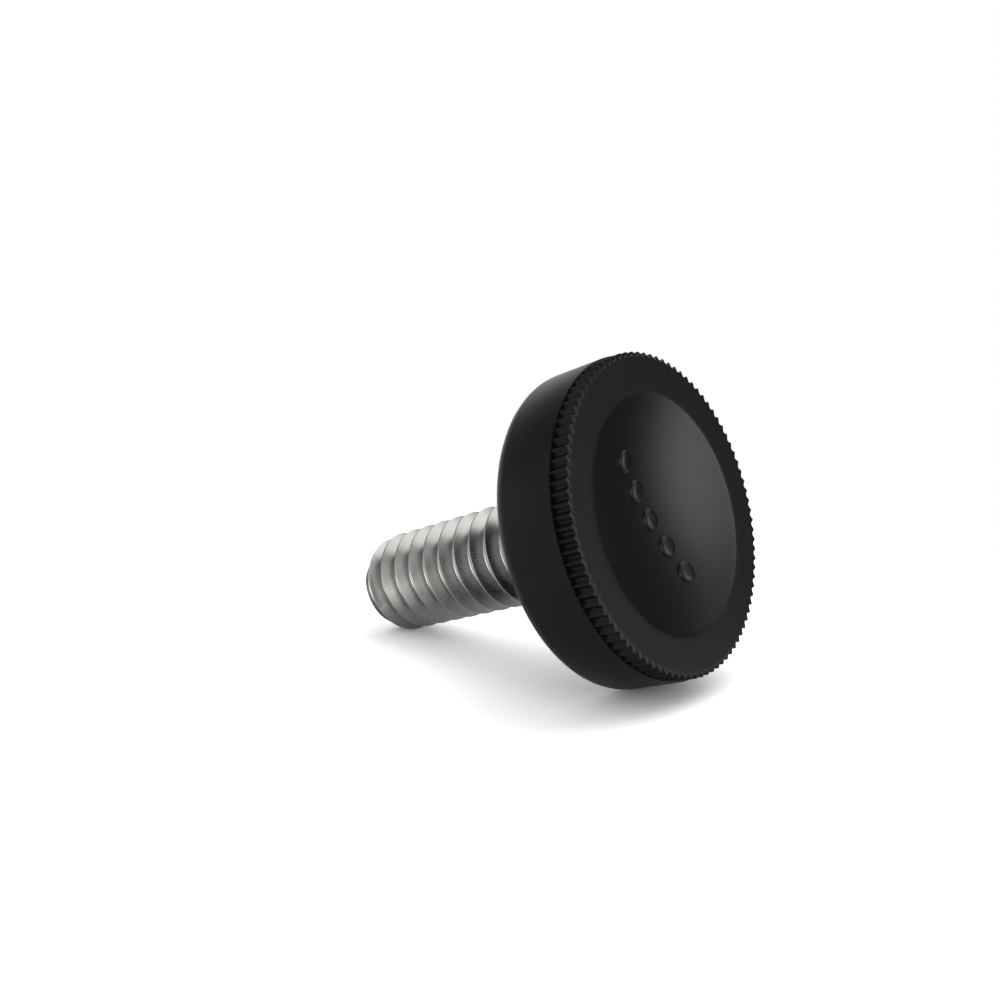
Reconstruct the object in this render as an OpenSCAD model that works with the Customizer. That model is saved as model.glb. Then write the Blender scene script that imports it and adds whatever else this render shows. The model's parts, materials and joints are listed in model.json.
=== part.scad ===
// Round thumb knob: a moulded head with a toothed rim on a threaded steel stud.
// It lies as it comes to rest, on the round back edge of the head and the end of the stud.
// Each piece is drawn along its own axis first: front face at z = 0, stud towards -z.

/* [Head] */
// Diameter of the smooth band behind the teeth
head_d = 18.2; // [16:0.1:26]
// Thickness of the head, from the front face to the back
head_t = 5; // [4.6:0.1:8]
// Radius of the round edge at the back
back_round = 1; // [0.4:0.1:1.5]

/* [Rim teeth] */
// Number of teeth round the rim
tooth_count = 95; // [60:1:110]
// Length of the teeth, from the front face to the shoulder
tooth_len = 1; // [0.5:0.1:1.5]
// How far the tooth tips lie inside the smooth band
tip_drop = 0.05; // [0.02:0.01:0.3]
// Angle between the two flanks of a groove
groove_angle = 90; // [80:5:110]
// Radius at the root of a groove
groove_root = 0.12; // [0.05:0.01:0.15]

/* [Dish and dots] */
// Diameter of the dish in the front face
dish_d = 13.5; // [10:0.1:15]
// Depth of the dish at its middle
dish_depth = 1.3; // [0.8:0.1:1.5]
// Number of raised dots in the row across the dish
dot_count = 5; // [1:2:5]
// Diameter of a dot
dot_d = 1.35; // [0.8:0.05:1.6]
// Height of a dot above the dish, and the radius of its edge
dot_h = 0.22; // [0.15:0.01:0.35]
// Spacing of the dots
dot_pitch = 1.88; // [1.7:0.01:2.2]

/* [Stud] */
// Outside diameter of the stud
stud_d = 6.35; // [6:0.05:6.6]
// Length of the stud that stands out of the head
stud_len = 16.7; // [10:0.1:25]
// Length of the chamfer at the end of the stud
tip_len = 1.1; // [0.5:0.1:1.5]
// Depth of that chamfer
tip_depth = 0.6; // [0.3:0.1:1]
// How far the stud runs into the head at its full diameter
seat_depth = 0.1; // [0.05:0.05:0.15]
// Diameter of the plain neck beyond that
neck_d = 5.5; // [4.5:0.1:5.9]
// Width across the flats of the anchor inside the head
anchor_af = 7; // [6.8:0.1:8]
// Thickness of the anchor
anchor_t = 1.5; // [1:0.1:1.8]
// Thickness of the wall between the anchor and the dish
anchor_cover = 0.8; // [0.5:0.1:1]

/* [Position] */
// Turn of the head about its own axis, which sets the slope of the row of dots
head_turn = 27; // [0:1:360]

/* [Hidden] */

ROUND_FN = 190;
EDGE_FN = 48;
ROOT_STEPS = 4;
SEAT_OVERLAP = 1;

head_r = head_d / 2;
stud_r = stud_d / 2;
tip_r = head_r - tip_drop;

// The dish is cut by a ball that meets the front face at the dish's edge
dish_ball_r = (dish_d * dish_d / 4 + dish_depth * dish_depth) / (2 * dish_depth);
dish_ball_z = dish_ball_r - dish_depth;

// Heights along the axis
stud_end_z = -head_t - stud_len;
stud_edge_z = stud_end_z + tip_len;
anchor_z = -dish_depth - anchor_cover - anchor_t;

// One groove of the rim: half its angle, and the circle at its root
pitch_angle = 360 / tooth_count;
flank_angle = groove_angle / 2;
sharp_root_x = tip_r * (cos(pitch_angle / 2) - sin(pitch_angle / 2) / tan(flank_angle));
root_x = sharp_root_x + groove_root / sin(flank_angle);

// The round edge at the back, as a circle in the half section
back_x = head_r - back_round;
back_z = back_round - head_t;

// At rest the table touches that circle and the stud's lower edge, and the axis leans
edge_gap = norm([back_x - stud_r, back_z - stud_edge_z]);
lean = atan2(back_x - stud_r, back_z - stud_edge_z) + asin(back_round / edge_gap);
lift = back_x * cos(lean) - back_z * sin(lean) + back_round;
front_reach = tip_r * sin(lean);
rear_reach = (stud_r - tip_depth) * sin(lean) - stud_end_z * cos(lean);

// Turns a point of an outline about the axis
function turned(p, a) = [p.x * cos(a) - p.y * sin(a), p.x * sin(a) + p.y * cos(a)];

// The round root of a groove that points along x, and the tooth tip after it
function groove_points() = [
    for (k = [0:ROOT_STEPS])
        let (a = 180 + (90 - flank_angle) * (1 - 2 * k / ROOT_STEPS))
            [root_x + groove_root * cos(a), groove_root * sin(a)],
    turned([tip_r, 0], pitch_angle / 2)
];

// The whole rim, with a tooth tip on the x axis
function rim_points() = [
    for (i = [0:tooth_count - 1], p = groove_points()) turned(p, (i + 0.5) * pitch_angle)
];

module knob() {
    color([0.13, 0.13, 0.13])
        lay_down()
            difference() {
                union() {
                    dished_head();
                    dots();
                }
                buried_end();
            }
}

module dished_head() {
    difference() {
        union() {
            smooth_band();
            toothed_rim();
        }
        translate([0, 0, dish_ball_z])
            sphere(r = dish_ball_r, $fn = ROUND_FN);
    }
}

// Smooth band, back face and the round edge between them
module smooth_band() {
    rotate_extrude($fn = ROUND_FN) {
        translate([0, back_z])
            square([head_r, -tooth_len - back_z]);
        translate([0, -head_t])
            square([back_x, back_round]);
        translate([back_x, back_z])
            circle(r = back_round, $fn = EDGE_FN);
    }
}

module toothed_rim() {
    translate([0, 0, -tooth_len])
        linear_extrude(height = tooth_len)
            polygon(rim_points());
}

// A straight row of dots, each standing square to the dish where it sits
module dots() {
    for (i = [0:dot_count - 1])
        translate([0, 0, dish_ball_z])
            rotate([0, -asin((i - (dot_count - 1) / 2) * dot_pitch / dish_ball_r), 0])
                translate([0, 0, -dish_ball_r])
                    dot();
}

// A round button with a quarter-round edge, whose lower half is sunk in the head
module dot() {
    rotate_extrude($fn = EDGE_FN) {
        translate([0, -dot_h])
            square([dot_d / 2 - dot_h, 2 * dot_h]);
        intersection() {
            translate([dot_d / 2 - dot_h, 0])
                circle(r = dot_h, $fn = EDGE_FN);
            translate([0, -dot_h])
                square([dot_d / 2, 2 * dot_h]);
        }
    }
}

module stud() {
    color([0.72, 0.72, 0.7])
        lay_down() {
            buried_end();
            translate([0, 0, stud_edge_z])
                cylinder(r = stud_r, h = stud_len - tip_len, $fn = ROUND_FN);
            translate([0, 0, stud_end_z])
                cylinder(r1 = stud_r - tip_depth, r2 = stud_r, h = tip_len, $fn = ROUND_FN);
        }
}

// What the head is moulded round: the seat, a plain neck and a six-sided anchor. The seat starts
// SEAT_OVERLAP below the back face, so it cuts right through the head and joins the shank.
module buried_end() {
    translate([0, 0, -head_t - SEAT_OVERLAP])
        cylinder(r = stud_r, h = SEAT_OVERLAP + seat_depth, $fn = ROUND_FN);
    translate([0, 0, -head_t])
        cylinder(d = neck_d, h = head_t + anchor_z, $fn = ROUND_FN);
    translate([0, 0, anchor_z])
        cylinder(d = anchor_af / cos(30), h = anchor_t, $fn = 6);
}

// Turns a piece from its own axis to its place on the table, with the stud towards -x
module lay_down() {
    translate([(rear_reach - front_reach) / 2, 0, lift])
        rotate([0, 90 - lean, 0])
            rotate([0, 0, head_turn])
                children();
}

knob();
stud();
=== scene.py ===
"""Round thumb knob: a moulded black head with a toothed rim on a threaded steel stud.

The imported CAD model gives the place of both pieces. The head is rebuilt here with the small
rounds on its edges, and the stud with its thread, and each stands for the plain CAD piece.
Each piece is shaped in millimetres along its own axis, front face at z = 0 and stud towards
-z, and is then laid down where the CAD piece lies.
"""

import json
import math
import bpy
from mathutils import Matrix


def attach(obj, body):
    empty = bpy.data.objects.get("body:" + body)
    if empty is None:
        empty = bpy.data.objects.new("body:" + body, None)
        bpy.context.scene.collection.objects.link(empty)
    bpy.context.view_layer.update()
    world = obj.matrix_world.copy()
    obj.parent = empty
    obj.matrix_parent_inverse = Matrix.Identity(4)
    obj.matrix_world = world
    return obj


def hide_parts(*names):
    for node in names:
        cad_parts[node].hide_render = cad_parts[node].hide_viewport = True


bl_info = {
    "name": "Round Thumb Knob",
    "version": (1, 0, 0),
    "blender": (4, 5, 0),
    "location": "3D View > Sidebar > Knob",
    "description": "Builds a round thumb knob with a toothed rim and a threaded stud",
    "category": "Object",
}

import bmesh
import bpy
from mathutils import Matrix, Vector

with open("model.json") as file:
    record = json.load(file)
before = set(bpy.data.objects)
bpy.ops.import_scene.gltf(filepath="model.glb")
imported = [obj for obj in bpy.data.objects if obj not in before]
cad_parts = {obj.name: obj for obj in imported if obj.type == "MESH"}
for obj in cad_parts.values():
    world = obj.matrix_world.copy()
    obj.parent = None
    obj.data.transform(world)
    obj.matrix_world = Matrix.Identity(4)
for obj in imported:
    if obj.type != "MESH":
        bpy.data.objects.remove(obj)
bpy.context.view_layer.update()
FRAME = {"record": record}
MOUNTS = {mount["name"]: mount for mount in FRAME["record"]["mounts"]}
THREAD_MOUNT = MOUNTS["stud_thread"]

MM = 1000.0  # millimetres in a metre
MERGE = 1e-4  # millimetres within which two vertices are one
DRIFT = 0.01  # millimetres within which a spun point keeps its radius
FULL_TURN = 2 * math.pi
# Where the columns of points stand, from the middle of a groove (0) to the middle of a tooth (1).
HALF_TOOTH = (0, 0.1, 0.19, 0.289, 0.57, 0.863, 0.91, 0.955, 1)
# How many parts a round is made of.
FRONT_ROWS = 4
BACK_ROWS = 8
EDGE_ROWS = 2
DOT_ROWS = 10
THREAD_ROWS = 3
# How many steps a whole turn takes.
DISH_STEPS = 190
DOT_STEPS = 48
THREAD_STEPS = 72
BLANK_STEPS = 144
BURIED_STEPS = 128
# What reflections, and only they, find in the world besides white, as soft-edged round patches:
# turn from the x axis and height of the middle, angle within which the patch is full and angle
# at which it ends (all in degrees). The last number is the share of the light that a dark patch
# takes away, or the strength that a soft box adds.
DARK_PATCHES = ((82, 5, 32, 48, 0.97), (0, 90, 20, 40, 0.6), (185, 42, 18, 36, 0.6))
SOFT_BOXES = ((27, 8, 8, 26, 5.0), (35, 40, 10, 32, 0.6), (306, 12, 10, 32, 4.0))


# ---------------------------------------------------------------- settings


def length(name, description, default, **limits):
    """A length property in metres, shown to a hundredth of a millimetre."""
    return bpy.props.FloatProperty(
        name=name, description=description, default=default, unit="LENGTH", precision=5, **limits
    )


def colour(name, description, default):
    """A linear colour property."""
    return bpy.props.FloatVectorProperty(
        name=name, description=description, default=default, subtype="COLOR", size=3, min=0, max=1
    )


class HeadSettings(bpy.types.PropertyGroup):
    """Sizes and finish of the moulded head."""

    radius: length("Radius", "Radius of the smooth band behind the teeth", 0.0091, min=0.005)
    thickness: length("Thickness", "From the front face to the back", 0.005, min=0.003)
    back_round: length("Back Round", "Radius of the round edge at the back", 0.001, min=0.0002)
    tooth_count: bpy.props.IntProperty(
        name="Teeth", description="Number of teeth round the rim", default=95, min=12, max=140
    )
    tooth_length: length("Tooth Length", "From the front face to the shoulder", 0.001)
    tip_drop: length("Tip Drop", "How far the tooth tips lie inside the band", 0.00005)
    groove_angle: bpy.props.FloatProperty(
        name="Groove Angle",
        description="Angle between the flanks of a groove",
        default=math.radians(90),
        subtype="ANGLE",
    )
    groove_root: length("Groove Root", "Radius at the root of a groove", 0.00012)
    dish_radius: length("Dish Radius", "Radius of the dish in the front face", 0.00675)
    dish_depth: length("Dish Depth", "Depth of the dish at its middle", 0.0013)
    dot_count: bpy.props.IntProperty(
        name="Dots", description="Number of raised dots in the row", default=5, min=1, max=9
    )
    dot_radius: length("Dot Radius", "Radius of a raised dot", 0.000675)
    dot_height: length("Dot Height", "Height of a dot", 0.00022)
    dot_round: length("Dot Round", "How far the round edge of a dot reaches in", 0.00042)
    dot_pitch: length("Dot Pitch", "Spacing of the dots along the row", 0.00188)
    turn: bpy.props.FloatProperty(
        name="Turn",
        description="Turn of the head about its own axis",
        default=math.radians(27),
        subtype="ANGLE",
    )
    front_round: length("Front Round", "Round on the front edge of the teeth", 0.00008)
    crest_round: length("Crest Round", "Round on the crests of the teeth", 0.00006)
    edge_round: length("Edge Round", "Round on the shoulder and round the dish", 0.00004)
    plastic: colour("Plastic", "Colour of the moulded plastic", (0.004, 0.004, 0.0043))


class StudSettings(bpy.types.PropertyGroup):
    """Sizes and finish of the threaded stud."""

    radius: length(
        "Thread Radius",
        "Outside radius of the thread",
        THREAD_MOUNT["dims"]["r_mm"] / MM,
    )
    exposed: length("Exposed Length", "From the back of the head to the stud's end", 0.0167)
    pitch: length("Thread Pitch", "Distance between neighbouring crests", 0.00127)
    tip_length: length("Tip Length", "Length of the chamfer at the end", 0.0011)
    tip_depth: length("Tip Depth", "Depth of the chamfer at the end", 0.0006)
    seat_depth: length("Seat Depth", "How far the full thread runs into the head", 0.0001)
    neck_radius: length("Neck Radius", "Radius of the plain neck in the head", 0.00275)
    anchor_flats: length("Anchor Flats", "Width across the flats of the hidden anchor", 0.007)
    anchor_height: length("Anchor Height", "Thickness of the anchor", 0.0015)
    anchor_cover: length("Anchor Cover", "Wall between the anchor and the dish", 0.0008)
    steel: colour("Steel", "Colour of the steel's reflections", (0.35, 0.346, 0.335))


class StageSettings(bpy.types.PropertyGroup):
    """The floor and the light."""

    floor_colour: colour("Floor", "Colour of the floor", (0.9, 0.9, 0.9))
    floor_gain: bpy.props.FloatProperty(
        name="Floor Gain",
        description="How much brighter the floor is where it is seen, to meet the backdrop",
        default=1.75,
        min=1,
    )
    floor_radius: length("Floor Radius", "Radius of the round white floor", 0.05)
    sun_strength: bpy.props.FloatProperty(
        name="Overhead", description="Strength of the soft overhead light", default=1.0, min=0
    )
    world_strength: bpy.props.FloatProperty(
        name="World", description="Strength of the surrounding light", default=0.75, min=0
    )


# ---------------------------------------------------------------- shaping helpers


def laid_down(turn):
    """The matrix that takes a piece from its own axis, in millimetres, to its place."""
    forward = -Vector(THREAD_MOUNT["axis"]).normalized()
    stud = bpy.context.scene.knob_stud
    head = bpy.context.scene.knob_head
    wall = THREAD_MOUNT["dims"]["length_mm"] / MM
    middle = head.thickness - stud.seat_depth + wall / 2
    front = Vector(THREAD_MOUNT["pos_m"]) + forward * middle
    across = Vector((0, 1, 0))
    down = across.cross(forward)
    axes = Matrix((down, across, forward)).transposed().to_4x4()
    turned = Matrix.Translation(front) @ axes @ Matrix.Rotation(turn, 4, "Z")
    return turned @ Matrix.Scale(1 / MM, 4)


def rounded_path(corners, rows):
    """A path of (x, z) points through corners (x, z, radius), each corner with its round."""
    path = []
    for i, (x, z, radius) in enumerate(corners):
        here = Vector((x, z))
        if radius == 0 or i in (0, len(corners) - 1):
            path.append(here)
            continue
        before = (Vector(corners[i - 1][:2]) - here).normalized()
        after = (Vector(corners[i + 1][:2]) - here).normalized()
        half = before.angle(after) / 2
        centre = here + (before + after).normalized() * radius / math.sin(half)
        first = here + before * radius / math.tan(half) - centre
        sweep = first.angle_signed(here + after * radius / math.tan(half) - centre)
        path += [centre + Matrix.Rotation(-sweep * k / rows, 2) @ first for k in range(rows + 1)]
    return path


def add_path(bm, path):
    """Adds a wire of (x, z) points in the half plane y = 0 and returns its parts."""
    verts = [bm.verts.new((x, 0, z)) for x, z in path]
    return verts + [bm.edges.new(pair) for pair in zip(verts, verts[1:])]


def spin_round(bm, path, steps):
    """Turns a path of (x, z) points once about the axis into a skin that meets itself."""
    bmesh.ops.spin(
        bm,
        geom=add_path(bm, path),
        cent=(0, 0, 0),
        axis=(0, 0, 1),
        dvec=(0, 0, 0),
        angle=FULL_TURN,
        steps=steps,
        use_merge=True,
    )
    bmesh.ops.remove_doubles(bm, verts=bm.verts, dist=MERGE)


def edges_where(bm, test):
    """The edges whose two ends both pass a test."""
    return [e for e in bm.edges if all(test(v.co) for v in e.verts)]


def new_piece(name, bm):
    """An object made from a bmesh, with its faces pointing outwards."""
    bmesh.ops.recalc_face_normals(bm, faces=bm.faces)
    mesh = bpy.data.meshes.new(name)
    bm.to_mesh(mesh)
    bm.free()
    piece = bpy.data.objects.new(name, mesh)
    bpy.context.scene.collection.objects.link(piece)
    return piece


def combine(piece, other, operation):
    """Joins or cuts one piece with another, which is used up."""
    modifier = piece.modifiers.new(operation.title(), "BOOLEAN")
    modifier.operation = operation
    modifier.solver = "EXACT"
    modifier.object = other
    graph = bpy.context.evaluated_depsgraph_get()
    result = bpy.data.meshes.new_from_object(piece.evaluated_get(graph))
    piece.modifiers.clear()
    used = [piece.data, other.data]
    piece.data = result
    result.name = piece.name
    bpy.data.objects.remove(other)
    for mesh in used:
        bpy.data.meshes.remove(mesh)


def finish_piece(piece, turn, material, node, sharp_from):
    """Lays a finished piece down, shades it, and lets it stand for its CAD node.

    Edges that turn by sharp_from degrees or more stay sharp.
    """
    piece.data.transform(laid_down(turn))
    piece.data.shade_smooth()
    piece.data.set_sharp_from_angle(angle=math.radians(sharp_from))
    piece.data.materials.clear()
    piece.data.materials.append(material)
    normals = piece.modifiers.new("Even Normals", "WEIGHTED_NORMAL")
    normals.keep_sharp = True
    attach(piece, "root")
    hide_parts(node)


def buried_end(overlap):
    """The seat, neck and six-sided anchor that the head is moulded round.

    The seat starts behind the head and the neck ends inside the anchor by the overlap, in
    millimetres.
    """
    head = bpy.context.scene.knob_head
    stud = bpy.context.scene.knob_stud
    back = -head.thickness * MM
    anchor_top = -(head.dish_depth + stud.anchor_cover) * MM
    anchor_bottom = anchor_top - stud.anchor_height * MM
    seat = back + stud.seat_depth * MM
    radius, neck_radius = stud.radius * MM, stud.neck_radius * MM
    start, end = back - overlap, anchor_bottom + overlap
    path = [(0, start), (radius, start), (radius, seat)]
    path += [(neck_radius, seat), (neck_radius, end), (0, end)]
    bm = bmesh.new()
    spin_round(bm, path, BURIED_STEPS)
    neck = new_piece("buried_end", bm)
    bm = bmesh.new()
    bmesh.ops.create_cone(
        bm,
        cap_ends=True,
        segments=6,
        radius1=stud.anchor_flats * MM / math.sqrt(3),
        radius2=stud.anchor_flats * MM / math.sqrt(3),
        depth=stud.anchor_height * MM,
        matrix=Matrix.Translation((0, 0, (anchor_top + anchor_bottom) / 2)),
    )
    combine(neck, new_piece("anchor", bm), "UNION")
    return neck


# ---------------------------------------------------------------- materials


def new_material(name):
    """A material with a Principled BSDF, and its parts."""
    material = bpy.data.materials.new(name)
    material.use_nodes = True
    nodes = material.node_tree.nodes
    return material, nodes, material.node_tree.links, nodes["Principled BSDF"]


def vary_roughness(nodes, links, shader, scale, detail, lowest, highest):
    """Lets a fine noise vary the roughness between two values, and returns the noise."""
    place = nodes.new("ShaderNodeTexCoord")
    noise = nodes.new("ShaderNodeTexNoise")
    noise.inputs["Scale"].default_value = scale
    noise.inputs["Detail"].default_value = detail
    links.new(place.outputs["Object"], noise.inputs["Vector"])
    rough = nodes.new("ShaderNodeMapRange")
    rough.inputs["To Min"].default_value = lowest
    rough.inputs["To Max"].default_value = highest
    links.new(noise.outputs["Fac"], rough.inputs["Value"])
    links.new(rough.outputs["Result"], shader.inputs["Roughness"])
    return noise


def moulded_plastic(base):
    """Black plastic with the fine even grain of a spark-eroded mould."""
    material, nodes, links, shader = new_material("black_moulded_plastic")
    shader.inputs["Base Color"].default_value = (*base, 1)
    shader.inputs["Specular IOR Level"].default_value = 0.15
    grain = vary_roughness(nodes, links, shader, scale=9000, detail=2, lowest=0.3, highest=0.36)
    bump = nodes.new("ShaderNodeBump")
    bump.inputs["Strength"].default_value = 0.12
    bump.inputs["Distance"].default_value = 0.00001
    links.new(grain.outputs["Fac"], bump.inputs["Height"])
    links.new(bump.outputs["Normal"], shader.inputs["Normal"])
    return material


def rolled_steel(base):
    """Bright plated steel with faint marks left by the thread rollers."""
    material, nodes, links, shader = new_material("rolled_steel")
    shader.inputs["Base Color"].default_value = (*base, 1)
    shader.inputs["Metallic"].default_value = 1
    vary_roughness(nodes, links, shader, scale=1500, detail=3, lowest=0.25, highest=0.3)
    return material


# ---------------------------------------------------------------- the head


def groove_radius(head, angle, inset):
    """Radius of the rim at an angle from the middle of a groove, cut back by an inset.

    It follows the round root, then the flat flank, then the round crest.
    """
    half, lean = math.pi / head.tooth_count, head.groove_angle / 2
    tip = (head.radius - head.tip_drop) * MM
    sharp = tip * (math.cos(half) - math.sin(half) / math.tan(lean))
    root = head.groove_root * MM
    root_centre = sharp + root / math.sin(lean)
    root += inset
    side = root_centre * math.sin(angle)
    if side < root * math.cos(lean):
        return root_centre * math.cos(angle) - math.sqrt(root**2 - side**2)
    ridge = lean - half
    crest_centre = tip - head.crest_round * MM / math.sin(ridge)
    crest = max(0, head.crest_round * MM - inset)
    side = crest_centre * math.sin(half - angle)
    if side < crest * math.cos(ridge):
        return crest_centre * math.cos(half - angle) + math.sqrt(crest**2 - side**2)
    flank = root_centre - root / math.sin(lean)
    return flank / (math.cos(angle) - math.sin(angle) / math.tan(lean))


def rim_body(head):
    """The outside of the head, from a ring inside the teeth round to the back face.

    It is spun plain first, and the points on the teeth are then moved in to their grooves.
    """
    columns = 2 * (len(HALF_TOOTH) - 1)
    radius = head.radius * MM
    tip = (head.radius - head.tip_drop) * MM
    back = -head.thickness * MM
    shoulder = -head.tooth_length * MM
    front_ring = tip - 0.5
    back_ring = front_ring - 1
    front = head.front_round * MM
    corners = [(front_ring, 0, 0), (tip, 0, 0)]
    for k in range(1, FRONT_ROWS + 1):
        corners.append((tip, -front * (1 - math.cos(math.radians(90 / FRONT_ROWS * k))), 0))
    corners += [(tip, shoulder, 0), (radius, shoulder, 0)]
    corners += [(radius, back, head.back_round * MM), (back_ring, back, 0)]
    bm = bmesh.new()
    spin_round(bm, rounded_path(corners, BACK_ROWS), head.tooth_count * columns)
    pitch = FULL_TURN / head.tooth_count
    for v in bm.verts:
        tooth, step = divmod(round(math.atan2(v.co.y, v.co.x) / pitch * columns), columns)
        step -= columns // 2
        angle = HALF_TOOTH[abs(step)] * pitch / 2
        around = (tooth + 0.5) * pitch + math.copysign(angle, step)
        reach = v.co.xy.length
        if v.co.z > shoulder - MERGE and abs(reach - tip) < DRIFT:
            rise = min(1, max(0, 1 + v.co.z / front))
            reach = groove_radius(head, angle, front * (1 - math.sqrt(1 - rise**2)))
        v.co.xy = (reach * math.cos(around), reach * math.sin(around))
    return bm


def dish_ball(head):
    """Radius of the ball that the dish is a part of, in millimetres."""
    dish = head.dish_radius * MM
    depth = head.dish_depth * MM
    return (dish**2 + depth**2) / (2 * depth)


class KNOB_OT_head(bpy.types.Operator):
    """Build the moulded head with its teeth, dish and raised dots"""

    bl_idname = "knob.make_head"
    bl_label = "Make Head"

    def execute(self, context):
        head = context.scene.knob_head
        bm = rim_body(head)
        self.round_shoulder(bm, head)
        self.add_dish(bm, head)
        piece = new_piece("knob_head", bm)
        combine(piece, self.dots(head), "UNION")
        combine(piece, buried_end(overlap=0.5), "DIFFERENCE")
        material = moulded_plastic(head.plastic)
        finish_piece(piece, head.turn, material, "knob", sharp_from=35)
        return {"FINISHED"}

    def round_shoulder(self, bm, head):
        """Rounds the edge between the shoulder behind the teeth and the smooth band."""
        radius = head.radius * MM
        shoulder = -head.tooth_length * MM
        lip = edges_where(
            bm, lambda co: abs(co.z - shoulder) < MERGE and abs(co.xy.length - radius) < DRIFT
        )
        self.round_edges(bm, lip, head)

    def round_edges(self, bm, edges, head):
        """Gives edges the small round that the shoulder and the dish have."""
        bmesh.ops.bevel(
            bm,
            geom=edges,
            offset=head.edge_round * MM,
            offset_type="OFFSET",
            affect="EDGES",
            segments=EDGE_ROWS,
            profile=0.5,
            material=-1,
            clamp_overlap=True,
        )

    def add_dish(self, bm, head):
        """Closes the front with the dished face, and the back with a plain one."""
        rim = [e for e in bm.edges if e.is_boundary]
        dish = head.dish_radius * MM
        depth = head.dish_depth * MM
        ball = dish_ball(head)
        reach = math.asin(dish / ball)
        rings = 24
        angles = [reach * k / rings for k in range(rings + 1)]
        path = [(ball * math.sin(a), ball - depth - ball * math.cos(a)) for a in angles]
        flat_ring = dish + 0.4
        path.append((flat_ring, 0))
        spin_round(bm, path, DISH_STEPS)
        edge = edges_where(
            bm, lambda co: abs(co.z) < MERGE and abs(co.xy.length - dish) < MERGE
        )
        self.round_edges(bm, edge, head)
        front = [e for e in bm.edges if e.is_boundary and abs(e.verts[0].co.z) < MERGE]
        bmesh.ops.triangle_fill(bm, use_beauty=True, edges=front)
        back = [e for e in rim if e.is_valid and e.is_boundary]
        bmesh.ops.contextual_create(bm, geom=back)

    def dots(self, head):
        """The row of raised dots, each square to the dish where it stands."""
        depth = head.dish_depth * MM
        ball = dish_ball(head)
        radius, height = head.dot_radius * MM, head.dot_height * MM
        flat = radius - head.dot_round * MM
        angles = [math.radians(90 / DOT_ROWS * k) for k in range(DOT_ROWS + 1)]
        path = [(flat + (radius - flat) * math.sin(a), height * math.cos(a)) for a in angles]
        path = [(0, height), *path, (radius, -height), (0, -height)]
        bm = bmesh.new()
        for i in range(head.dot_count):
            start = set(bm.verts)
            spin_round(bm, path, DOT_STEPS)
            along = (i - (head.dot_count - 1) / 2) * head.dot_pitch * MM / ball
            place = (
                Matrix.Translation((0, 0, ball - depth))
                @ Matrix.Rotation(-along, 4, "Y")
                @ Matrix.Translation((0, 0, -ball))
            )
            bmesh.ops.transform(bm, matrix=place, verts=[v for v in bm.verts if v not in start])
        return new_piece("dots", bm)


# ---------------------------------------------------------------- the stud


class KNOB_OT_stud(bpy.types.Operator):
    """Build the steel stud with its rolled thread"""

    bl_idname = "knob.make_stud"
    bl_label = "Make Stud"

    def execute(self, context):
        stud = context.scene.knob_stud
        piece = self.thread(stud)
        combine(piece, self.blank(stud), "INTERSECT")
        combine(piece, buried_end(overlap=0), "UNION")
        material = rolled_steel(stud.steel)
        finish_piece(piece, 0, material, "stud", sharp_from=40)
        return {"FINISHED"}

    def thread(self, stud):
        """A threaded rod: one pitch of the thread's outline, spun and shifted, with pointed ends.

        It is longer than the stud, and the blank cuts it to length.
        """
        radius, pitch = stud.radius * MM, stud.pitch * MM
        depth = 0.613 * pitch
        root = radius - depth
        crest_half, root_half = pitch / 28, pitch / 8
        crest_round, root_round = 0.02, 0.1
        corners = [
            (root, -pitch / 2, 0),
            (root, root_half - pitch / 2, root_round),
            (radius, -crest_half, crest_round),
            (radius, crest_half, crest_round),
            (root, pitch / 2 - root_half, root_round),
            (root, pitch / 2, 0),
        ]
        spare_turns = 2
        head = bpy.context.scene.knob_head
        bottom = -(head.thickness + stud.exposed) * MM - spare_turns * pitch
        turns = math.ceil(stud.exposed * MM / pitch) + 2 * spare_turns
        bm = bmesh.new()
        path = [(x, z + bottom) for x, z in rounded_path(corners, THREAD_ROWS)]
        bmesh.ops.spin(
            bm,
            geom=add_path(bm, path),
            cent=(0, 0, 0),
            axis=(0, 0, 1),
            dvec=(0, 0, pitch / THREAD_STEPS),
            angle=FULL_TURN * turns,
            steps=THREAD_STEPS * turns,
        )
        bmesh.ops.remove_doubles(bm, verts=bm.verts, dist=MERGE)
        middle = bottom + turns * pitch / 2
        ends = [e for e in bm.edges if e.is_boundary]
        made = bmesh.ops.extrude_edge_only(bm, edges=ends)["geom"]
        for v in (g for g in made if isinstance(g, bmesh.types.BMVert)):
            v.co = (0, 0, middle + math.copysign(turns * pitch / 2 + pitch, v.co.z - middle))
        bmesh.ops.remove_doubles(bm, verts=bm.verts, dist=MERGE)
        return new_piece("threaded_stud", bm)

    def blank(self, stud):
        """The turned blank: what the chamfered end and the flat top cut the rod down to."""
        head = bpy.context.scene.knob_head
        back = -head.thickness * MM + stud.seat_depth * MM
        end = -(head.thickness + stud.exposed) * MM
        slope = stud.tip_depth / stud.tip_length
        clear = 0.2
        outside = stud.radius * MM + clear
        edge = end + stud.tip_length * MM + clear / slope
        tip = (stud.radius - stud.tip_depth) * MM
        path = [(0, end), (tip, end), (outside, edge), (outside, back), (0, back)]
        bm = bmesh.new()
        spin_round(bm, path, BLANK_STEPS)
        return new_piece("blank", bm)


# ---------------------------------------------------------------- the stage


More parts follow.
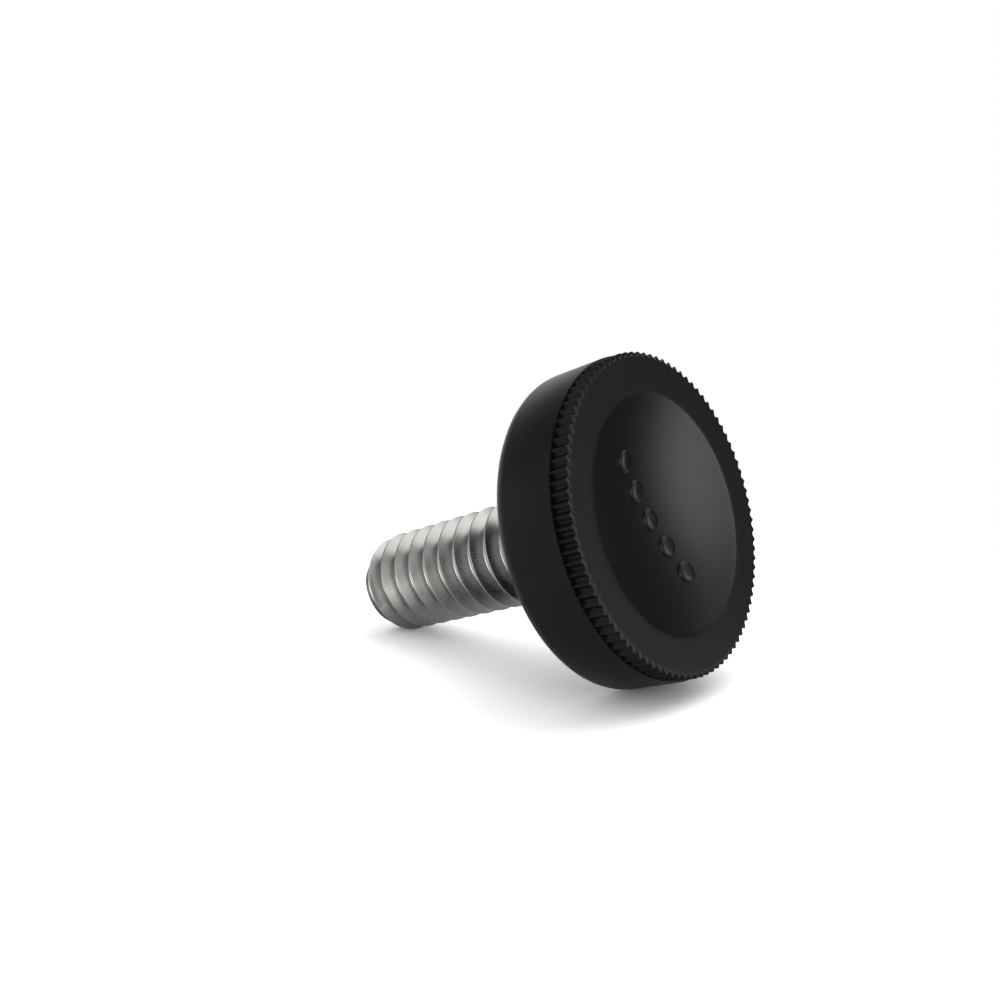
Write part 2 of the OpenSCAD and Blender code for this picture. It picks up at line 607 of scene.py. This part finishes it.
class KNOB_OT_stage(bpy.types.Operator):
    """Set up the white floor, the light and the camera"""

    bl_idname = "knob.make_stage"
    bl_label = "Make Stage"

    def execute(self, context):
        stage = context.scene.knob_stage
        self.floor(stage)
        self.world(context.scene, stage)
        self.overhead(stage)
        self.camera(context.scene)
        context.scene.view_settings.view_transform = "Standard"
        return {"FINISHED"}

    def floor(self, stage):
        """A white disc, brighter where it is seen.

        Reflections find it only as bright as it is lit, or they would turn the dish grey.
        """
        bm = bmesh.new()
        bmesh.ops.create_circle(bm, cap_ends=True, segments=96, radius=stage.floor_radius)
        floor = new_piece("floor", bm)
        material, nodes, links, shader = new_material("white_floor")
        nodes.remove(shader)
        plain = nodes.new("ShaderNodeBsdfDiffuse")
        path = nodes.new("ShaderNodeLightPath")
        rays = [path.outputs[name] for name in ("Is Camera Ray", "Is Transmission Ray")]
        seen = self.maths(nodes, links, "MAXIMUM", *rays)
        gain = self.maths(nodes, links, "MULTIPLY_ADD", seen, stage.floor_gain - 1, 1.0)
        tint = nodes.new("ShaderNodeVectorMath")
        tint.operation = "SCALE"
        tint.inputs[0].default_value = stage.floor_colour
        links.new(gain, tint.inputs["Scale"])
        links.new(tint.outputs["Vector"], plain.inputs["Color"])
        links.new(plain.outputs["BSDF"], nodes["Material Output"].inputs["Surface"])
        floor.data.materials.append(material)

    def world(self, scene, stage):
        """White where it is seen, with dark patches and soft boxes that only reflections find."""
        world = bpy.data.worlds.new("studio")
        scene.world = world
        world.use_nodes = True
        nodes, links = world.node_tree.nodes, world.node_tree.links
        background = nodes["Background"]
        background.inputs["Color"].default_value = (1, 1, 1, 1)
        path = nodes.new("ShaderNodeLightPath")
        seen = path.outputs["Is Camera Ray"]
        for name in ("Is Glossy Ray", "Is Transmission Ray"):
            seen = self.maths(nodes, links, "MAXIMUM", seen, path.outputs[name])
        level = nodes.new("ShaderNodeMapRange")
        level.inputs["To Min"].default_value = stage.world_strength
        level.inputs["To Max"].default_value = 1
        links.new(seen, level.inputs["Value"])
        total = level.outputs["Result"]
        for *place, share in DARK_PATCHES:
            dark = self.patch(nodes, links, path, place, -share)
            total = self.maths(nodes, links, "MULTIPLY_ADD", dark, total, total)
        for *place, strength in SOFT_BOXES:
            box = self.patch(nodes, links, path, place, strength)
            total = self.maths(nodes, links, "ADD", box, total)
        links.new(total, background.inputs["Strength"])

    def maths(self, nodes, links, operation, *values):
        """The result of a maths node on sockets or numbers."""
        node = nodes.new("ShaderNodeMath")
        node.operation = operation
        for socket, value in zip(node.inputs, values):
            if isinstance(value, bpy.types.NodeSocket):
                links.new(value, socket)
            else:
                socket.default_value = value
        return node.outputs[0]

    def patch(self, nodes, links, path, place, amount):
        """A soft-edged round patch of the given amount that only reflections find."""
        around, up, inner, outer = [math.radians(angle) for angle in place]
        flat = math.cos(up)
        middle = (flat * math.cos(around), flat * math.sin(around), math.sin(up))
        direction = nodes.new("ShaderNodeTexCoord")
        facing = nodes.new("ShaderNodeVectorMath")
        facing.operation = "DOT_PRODUCT"
        facing.inputs[1].default_value = middle
        links.new(direction.outputs["Generated"], facing.inputs[0])
        edge = nodes.new("ShaderNodeMapRange")
        edge.interpolation_type = "SMOOTHSTEP"
        edge.inputs["From Min"].default_value = math.cos(outer)
        edge.inputs["From Max"].default_value = math.cos(inner)
        edge.inputs["To Max"].default_value = amount
        links.new(facing.outputs["Value"], edge.inputs["Value"])
        reflected = path.outputs["Is Glossy Ray"]
        return self.maths(nodes, links, "MULTIPLY", edge.outputs["Result"], reflected)

    def overhead(self, stage):
        """One wide soft lamp, above and behind the knob."""
        data = bpy.data.lights.new("overhead", "SUN")
        data.energy = stage.sun_strength
        data.angle = math.radians(60)
        lamp = bpy.data.objects.new("overhead", data)
        lamp.location = (0.02, 0.2, 0.3)
        lamp.rotation_euler = lamp.location.to_track_quat("Z", "Y").to_euler()
        bpy.context.scene.collection.objects.link(lamp)

    def camera(self, scene):
        """A near view from in front of the head, off its axis and slightly from above."""
        data = bpy.data.cameras.new("camera")
        data.lens = 43.196
        data.sensor_width = 36
        data.shift_x = 0.1043
        data.shift_y = 0.1664
        data.clip_start = 0.001
        data.clip_end = 10
        camera = bpy.data.objects.new("camera", data)
        camera.location = (0.04191, -0.05752, 0.02219)
        camera.rotation_euler = [math.radians(angle) for angle in (72.09, 0.083, 42.67)]
        scene.collection.objects.link(camera)
        scene.camera = camera


class VIEW3D_PT_knob(bpy.types.Panel):
    """Lists the sizes and the steps that build the knob"""

    bl_label = "Round Thumb Knob"
    bl_space_type = "VIEW_3D"
    bl_region_type = "UI"
    bl_category = "Knob"

    def draw(self, context):
        for title, group, operator in STEPS:
            box = self.layout.box()
            box.label(text=title)
            settings = getattr(context.scene, group)
            for name in settings.bl_rna.properties.keys():
                if name not in ("rna_type", "name"):
                    box.prop(settings, name)
            box.operator(operator)


STEPS = (
    ("Head", "knob_head", "knob.make_head"),
    ("Stud", "knob_stud", "knob.make_stud"),
    ("Stage", "knob_stage", "knob.make_stage"),
)
GROUPS = {"knob_head": HeadSettings, "knob_stud": StudSettings, "knob_stage": StageSettings}
CLASSES = (*GROUPS.values(), KNOB_OT_head, KNOB_OT_stud, KNOB_OT_stage, VIEW3D_PT_knob)


def register():
    for cls in CLASSES:
        bpy.utils.register_class(cls)
    for name, group in GROUPS.items():
        setattr(bpy.types.Scene, name, bpy.props.PointerProperty(type=group))


def unregister():
    for name in GROUPS:
        delattr(bpy.types.Scene, name)
    for cls in reversed(CLASSES):
        bpy.utils.unregister_class(cls)


def main():
    register()
    bpy.ops.knob.make_head()
    bpy.ops.knob.make_stud()
    bpy.ops.knob.make_stage()


if __name__ == "__main__":
    main()
